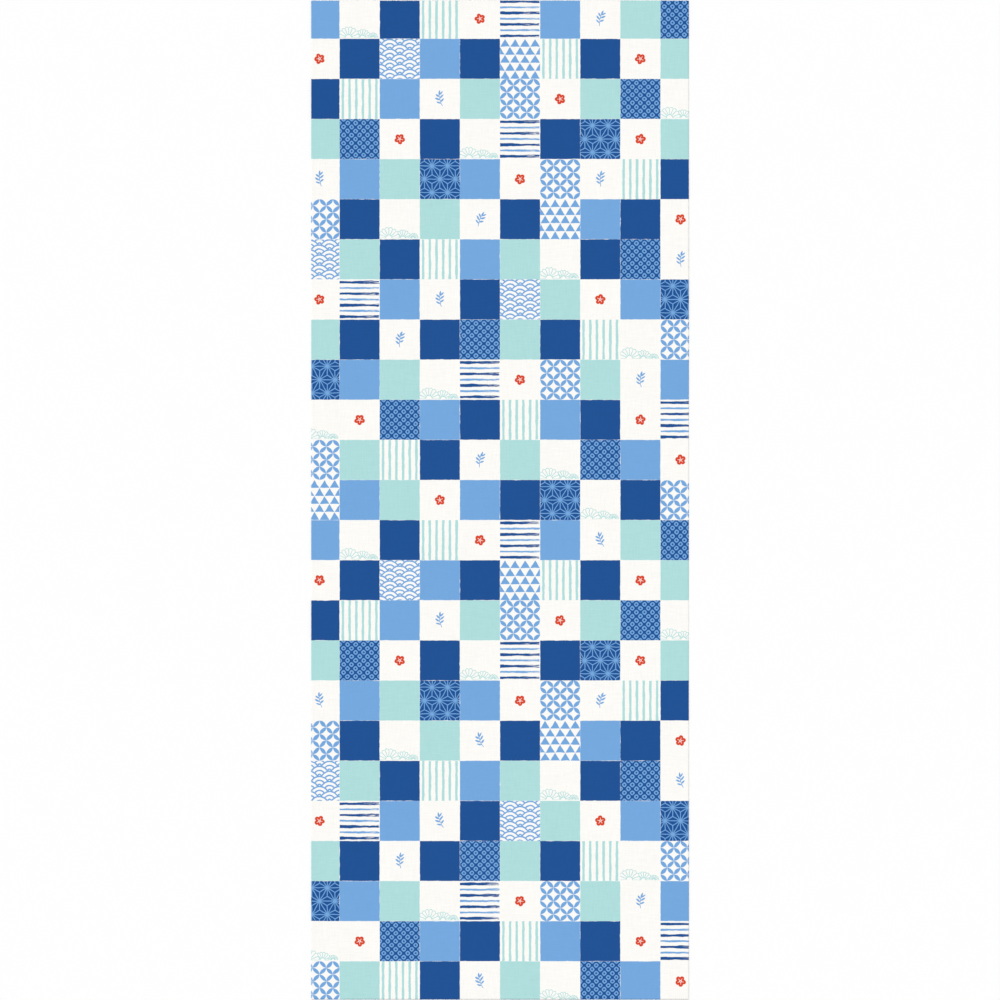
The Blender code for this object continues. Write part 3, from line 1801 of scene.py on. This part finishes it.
@dataclass(frozen=True)
class Studio:
    """The pale floor, the soft light and the camera straight above the cloth.

    Attributes:
        floor_size: side of the floor, in metres.
        lens: of the camera, in millimetres.
        sensor: width of its picture, in millimetres.
        sky: strength of the even light from all round.
        lamp: strength of the broad lamp.
        lamp_spread: how broad the lamp looks from the cloth, in radians.
        lamp_tilt: how far it stands from overhead, in radians.
        lamp_turn: the side that it stands on, in radians from +X.
    """

    floor_size: float = 40.0
    lens: float = 200.0
    sensor: float = 36.0
    sky: float = 0.645
    lamp: float = 1.68
    lamp_spread: float = radians(28)
    lamp_tilt: float = radians(38)
    lamp_turn: float = radians(125)

    FLOOR_WHITE = Dye(254, 254, 254)
    FLOOR_CELLS = 8  # cells of the floor along each side
    FLOOR_SHINE = 0.1
    FLOOR_ROUGHNESS = 0.95
    GRAIN_SCALE = 30.0  # specks in a metre of the floor
    GRAIN_LEVEL = 0.995  # light from the darker specks
    LAMP_DISTANCE = 3.0

    def floor(self) -> Object:
        """Lay the plain floor under the cloth.

        Returns:
            The floor.
        """
        model = bmesh.new()
        cells = self.FLOOR_CELLS
        bmesh.ops.create_grid(model, x_segments=cells, y_segments=cells, size=self.floor_size / 2)
        mesh = bpy.data.meshes.new("studio_floor")
        model.to_mesh(mesh)
        model.free()
        material, graph, shader = bare_finish("floor_paint")
        x, y, _ = graph.parted(graph.node("ShaderNodeTexCoord").outputs["Object"])
        grain = graph.speckle(x, y, scale=self.GRAIN_SCALE, detail=2.0)
        white = self.FLOOR_WHITE.albedo()
        dimmer = tuple(channel * self.GRAIN_LEVEL for channel in white[:3]) + (1.0,)
        finish = {
            "Base Color": graph.blend(grain, white, dimmer),
            "Specular IOR Level": self.FLOOR_SHINE,
            "Roughness": self.FLOOR_ROUGHNESS,
        }
        graph.feed(shader, finish)
        mesh.materials.append(material)
        return placed("studio_floor", mesh)

    def light(self) -> None:
        """Set up the even light from all round and the broad lamp."""
        scene = bpy.context.scene
        world = bpy.data.worlds.new("studio_sky")
        world.use_nodes = True
        sky = world.node_tree.nodes["Background"]
        sky.inputs["Color"].default_value = (1.0, 1.0, 1.0, 1.0)
        sky.inputs["Strength"].default_value = self.sky
        scene.world = world
        lamp = bpy.data.lights.new("studio_lamp", "SUN")
        lamp.energy = self.lamp
        lamp.angle = self.lamp_spread
        holder = placed("studio_lamp", lamp)
        level = sin(self.lamp_tilt)
        toward = Vector((level * cos(self.lamp_turn), level * sin(self.lamp_turn), cos(self.lamp_tilt)))
        holder.location = toward * self.LAMP_DISTANCE
        holder.rotation_euler = toward.to_track_quat("Z", "Y").to_euler()
        scene.view_settings.view_transform = "Standard"

    def camera(self, length: float, height: float) -> None:
        """Set up the camera that looks straight down and takes in just the cloth's length.

        Args:
            length: of the cloth, which fills the picture from top to bottom.
            height: of the cloth's face above the floor.
        """
        lens = bpy.data.cameras.new("studio_camera")
        lens.type = "PERSP"
        lens.lens = self.lens
        lens.sensor_width = self.sensor
        lens.clip_end = self.floor_size
        camera = placed("studio_camera", lens)
        camera.location = (0.0, 0.0, height + length * self.lens / self.sensor)
        bpy.context.scene.camera = camera


def main() -> None:
    """Build the towel on its frame, and the studio around it."""
    logging.basicConfig(level=logging.INFO, format="%(name)s %(message)s")
    low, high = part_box(CLOTH_NODE)
    width, length = high[0] - low[0], high[1] - low[1]

    studio = Studio()
    floor_piece = studio.floor()
    studio.light()
    studio.camera(length, high[2])

    cotton = DyedCotton(PlainWeave(width / 2 / MILLIMETRE))
    cloth_layer, yarn_layer = (
        PrintLayer(cotton.chart, cotton.materials(woven), length) for woven in (True, False)
    )
    towel = TowelCloth(width, length)
    cloth = towel.build(cloth_layer)
    edge_yarns = [CutEnds(towel).build(yarn_layer), SelvedgeTurns(towel).build(yarn_layer)]
    for piece in (cloth, *edge_yarns):
        LOG.info("%s: %d faces", piece.name, len(piece.data.polygons))
        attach(piece, "root")
    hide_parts(CLOTH_NODE)


if __name__ == "__main__":
    main()
